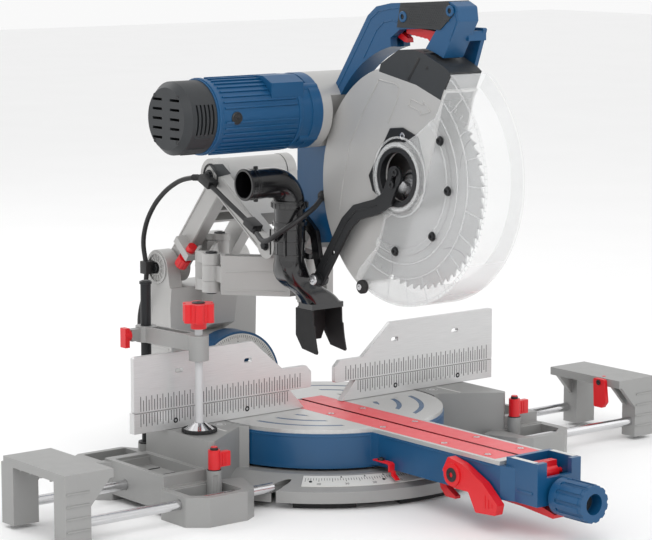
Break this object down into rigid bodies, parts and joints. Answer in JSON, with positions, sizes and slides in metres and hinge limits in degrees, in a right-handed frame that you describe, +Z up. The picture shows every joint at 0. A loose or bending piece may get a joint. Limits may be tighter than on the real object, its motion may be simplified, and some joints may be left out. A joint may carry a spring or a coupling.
{
  "type": "sliding compound mitre saw",
  "caption": "Dual-bevel mitre saw whose head glides on a folding arm linkage above a turntable with fences, a hold-down clamp and pull-out side supports.",
  "frame": {"origin": "on the bench plane, under the turntable's axis", "axes": "+X along the fence to the operator's right, +Y to the back, +Z up; the operator stands on -Y"},
  "size_m": [1.16, 1.19, 0.748],
  "materials": {
    "cast_alloy": "satin",
    "base_alloy": "satin",
    "fence_alloy": "brushed",
    "plate_alloy": "brushed",
    "blue_alloy": "satin",
    "blue_plastic": "satin",
    "red_plastic": "gloss",
    "red_insert": "satin",
    "black_plastic": "satin",
    "black_gloss": "gloss",
    "anthracite": "satin",
    "steel": "brushed",
    "black_steel": "satin",
    "chrome": "polished",
    "clear_guard": "clear",
    "rubber": "matt",
    "cable": "matt",
    "scale_plate": "satin",
    "motor_core": "satin"
  },
  "bodies": {
    "base": {"base_casting": "base_alloy", "mitre_scale": "scale_plate", "left_fixed_fence": "fence_alloy", "right_fixed_fence": "fence_alloy", "clamp_post": "black_steel"},
    "right_support": {"right_support": "base_alloy", "right_rods": "steel"},
    "left_support": {"left_support": "base_alloy", "left_rods": "steel"},
    "flip_stop": {"flip_stop": "red_plastic"},
    "right_rail_lock": {"right_rail_lock": "red_plastic"},
    "left_rail_lock": {"left_rail_lock": "red_plastic"},
    "left_sliding_fence": {"left_sliding_fence": "fence_alloy"},
    "right_sliding_fence": {"right_sliding_fence": "fence_alloy"},
    "clamp_arm": {"clamp_arm": "base_alloy"},
    "clamp_arm_lock": {"clamp_arm_lock": "red_plastic"},
    "clamp_screw": {"clamp_screw": "steel"},
    "clamp_pad": {"clamp_pad": "chrome"},
    "turntable": {"turntable": "blue_alloy", "table_plate": "plate_alloy", "kerf_inserts": "red_insert", "mains_lead": "cable", "mains_coil": "cable", "mains_plug": "black_plastic"},
    "mitre_lock_knob": {"mitre_lock_knob": "blue_plastic"},
    "detent_lever": {"detent_lever": "red_plastic"},
    "bevel_lever": {"bevel_lever": "red_plastic"},
    "bevel_selector": {"bevel_selector": "red_plastic"},
    "upright": {"upright": "cast_alloy", "cable_on_post": "cable"},
    "rear_glide_arm": {"rear_glide_arm": "cast_alloy"},
    "front_glide_arm": {"front_glide_arm": "cast_alloy"},
    "head_bracket": {"head_bracket": "cast_alloy", "chop_shaft": "steel", "dust_chute": "black_gloss", "chute_flaps": "rubber", "cable_head": "cable"},
    "lower_link_arm": {"lower_link_arm": "cast_alloy", "cable_arc": "cable"},
    "upper_link_arm": {"upper_link_arm": "cast_alloy", "cable_on_arm": "cable"},
    "glide_lock_knob": {"glide_lock_knob": "red_plastic"},
    "dust_elbow": {"dust_elbow": "black_gloss"},
    "head": {"upper_guard": "cast_alloy", "guard_top_cover": "anthracite", "arbor_plate": "black_steel", "head_neck": "blue_alloy", "drive_housing": "cast_alloy", "drive_belt": "rubber", "motor_housing": "blue_plastic", "motor_end_cap": "anthracite", "handle": "blue_plastic", "handle_grip": "rubber"},
    "blade": {"saw_blade": "steel", "blade_arbor": "steel"},
    "rotor": {"motor_rotor": "motor_core"},
    "lower_guard": {"lower_guard": "clear_guard"},
    "guard_link": {"guard_link": "black_steel"},
    "trigger": {"trigger": "red_plastic"},
    "lock_lever": {"lock_lever": "red_plastic"}
  },
  "joints": [
    {"name": "mitre", "type": "hinge", "parent": "base", "child": "turntable", "pos_m": [0, 0, 0], "axis": [0, 0, 1], "range_deg": [-50, 50]},
    {"name": "bevel", "type": "hinge", "parent": "turntable", "child": "upright", "pos_m": [0, 0, 0.105], "axis": [0, 1, 0], "range_deg": [-22.5, 22.5]},
    {"name": "glide", "type": "hinge", "parent": "upright", "child": "rear_glide_arm", "pos_m": [0, 0.274, 0.307], "axis": [0, 0, 1], "range_deg": [-30.5, 13.1]},
    {"name": "glide_elbow", "type": "hinge", "parent": "rear_glide_arm", "child": "front_glide_arm", "pos_m": [-0.10167, 0.157, 0.307], "axis": [0, 0, 1], "range_deg": [-26.4, 61.2]},
    {"name": "glide_front", "type": "hinge", "parent": "front_glide_arm", "child": "head_bracket", "pos_m": [0, 0.04, 0.307], "axis": [0, 0, 1], "range_deg": [-30.7, 13.3]},
    {"name": "lower_link", "type": "hinge", "parent": "upright", "child": "lower_link_arm", "pos_m": [0, 0.333, 0.292], "axis": [1, 0, 0], "range_deg": [-26.14, 11.34]},
    {"name": "upper_link", "type": "hinge", "parent": "head_bracket", "child": "upper_link_arm", "pos_m": [0, 0.048, 0.36], "axis": [1, 0, 0], "range_deg": [-9.99, 23]},
    {"name": "chop", "type": "hinge", "parent": "head_bracket", "child": "head", "pos_m": [0, 0.012, 0.384], "axis": [1, 0, 0], "range_deg": [0, 53.1]},
    {"name": "lower_guard", "type": "hinge", "parent": "head", "child": "lower_guard", "pos_m": [0, -0.226, 0.488], "axis": [1, 0, 0], "range_deg": [-135.3, 0.2]},
    {"name": "guard_link", "type": "hinge", "parent": "head_bracket", "child": "guard_link", "pos_m": [0, -0.05, 0.316], "axis": [1, 0, 0], "range_deg": [-0.2, 64.71]},
    {"name": "blade_spin", "type": "hinge", "parent": "head", "child": "blade", "pos_m": [0, -0.22, 0.47], "axis": [1, 0, 0], "continuous": true},
    {"name": "rotor_spin", "type": "hinge", "parent": "head", "child": "rotor", "pos_m": [0, -0.015, 0.574], "axis": [1, 0, 0], "continuous": true},
    {"name": "trigger", "type": "hinge", "parent": "head", "child": "trigger", "pos_m": [0, -0.212, 0.709], "axis": [1, 0, 0], "range_deg": [-5, 0], "stiffness_Nm_per_rad": 0.6, "springref_deg": 11.46},
    {"name": "lock_lever", "type": "hinge", "parent": "head", "child": "lock_lever", "pos_m": [0, -0.18, 0.697], "axis": [1, 0, 0], "range_deg": [-10, 0], "stiffness_Nm_per_rad": 0.2, "springref_deg": 11.46},
    {"name": "dust_elbow_swivel", "type": "hinge", "parent": "head_bracket", "child": "dust_elbow", "pos_m": [-0.075, -0.012, 0.424], "axis": [0, 0, 1], "range_deg": [-35, 15]},
    {"name": "glide_lock_turn", "type": "hinge", "parent": "lower_link_arm", "child": "glide_lock_knob", "pos_m": [-0.066, 0.258, 0.334], "axis": [0, 0.7071, -0.7071], "range_deg": [-180, 180]},
    {"name": "mitre_lock_turn", "type": "hinge", "parent": "turntable", "child": "mitre_lock_knob", "pos_m": [0, -0.56, 0.06], "axis": [0, 1, 0], "range_deg": [-180, 180]},
    {"name": "detent_lever", "type": "hinge", "parent": "turntable", "child": "detent_lever", "pos_m": [0, -0.404, 0.043], "axis": [1, 0, 0], "range_deg": [0, 8], "stiffness_Nm_per_rad": 1.5, "springref_deg": -5.73},
    {"name": "bevel_lever", "type": "hinge", "parent": "turntable", "child": "bevel_lever", "pos_m": [-0.06, -0.382, 0.073], "axis": [1, 0, 0], "range_deg": [-25, 0]},
    {"name": "bevel_selector", "type": "hinge", "parent": "turntable", "child": "bevel_selector", "pos_m": [0, -0.502, 0.088], "axis": [1, 0, 0], "range_deg": [-25, 25]},
    {"name": "right_support", "type": "slide", "parent": "base", "child": "right_support", "axis": [1, 0, 0], "range_m": [-0.15, 0]},
    {"name": "left_support", "type": "slide", "parent": "base", "child": "left_support", "axis": [-1, 0, 0], "range_m": [-0.15, 0]},
    {"name": "flip_stop", "type": "hinge", "parent": "right_support", "child": "flip_stop", "pos_m": [0.496, -0.117, 0.098], "axis": [1, 0, 0], "range_deg": [0, 180]},
    {"name": "right_rail_lock", "type": "hinge", "parent": "base", "child": "right_rail_lock", "pos_m": [0.299, -0.12, 0.08], "axis": [0, 0, 1], "range_deg": [-45, 45]},
    {"name": "left_rail_lock", "type": "hinge", "parent": "base", "child": "left_rail_lock", "pos_m": [-0.299, -0.12, 0.08], "axis": [0, 0, 1], "range_deg": [-45, 30]},
    {"name": "right_sliding_fence", "type": "slide", "parent": "base", "child": "right_sliding_fence", "axis": [1, 0, 0], "range_m": [0, 0.08]},
    {"name": "left_sliding_fence", "type": "slide", "parent": "base", "child": "left_sliding_fence", "axis": [-1, 0, 0], "range_m": [0, 0.08]},
    {"name": "clamp_height", "type": "slide", "parent": "base", "child": "clamp_arm", "axis": [0, 0, 1], "range_m": [0, 0.05]},
    {"name": "clamp_arm_lock", "type": "hinge", "parent": "clamp_arm", "child": "clamp_arm_lock", "pos_m": [-0.32, 0.078, 0.24], "axis": [1, 0, 0], "range_deg": [-60, 60]},
    {"name": "clamp_screw", "type": "slide", "parent": "clamp_arm", "child": "clamp_screw", "axis": [0, 0, 1], "range_m": [0, 0.085]},
    {"name": "clamp_pad_swivel", "type": "hinge", "parent": "clamp_screw", "child": "clamp_pad", "pos_m": [-0.268, -0.04, 0.11], "axis": [0, 0, 1], "range_deg": [-180, 180]}
  ],
  "couplings": [
    {"joint": "glide_elbow", "follows": "glide", "ratio": -2},
    {"joint": "glide_front", "follows": "glide", "ratio": 1},
    {"joint": "lower_link", "follows": "glide", "ratio": 0.8505},
    {"joint": "upper_link", "follows": "glide", "ratio": -0.7476},
    {"joint": "lower_guard", "follows": "chop", "ratio": -2.5424},
    {"joint": "guard_link", "follows": "chop", "ratio": 1.213},
    {"joint": "rotor_spin", "follows": "blade_spin", "ratio": 2.3571}
  ]
}
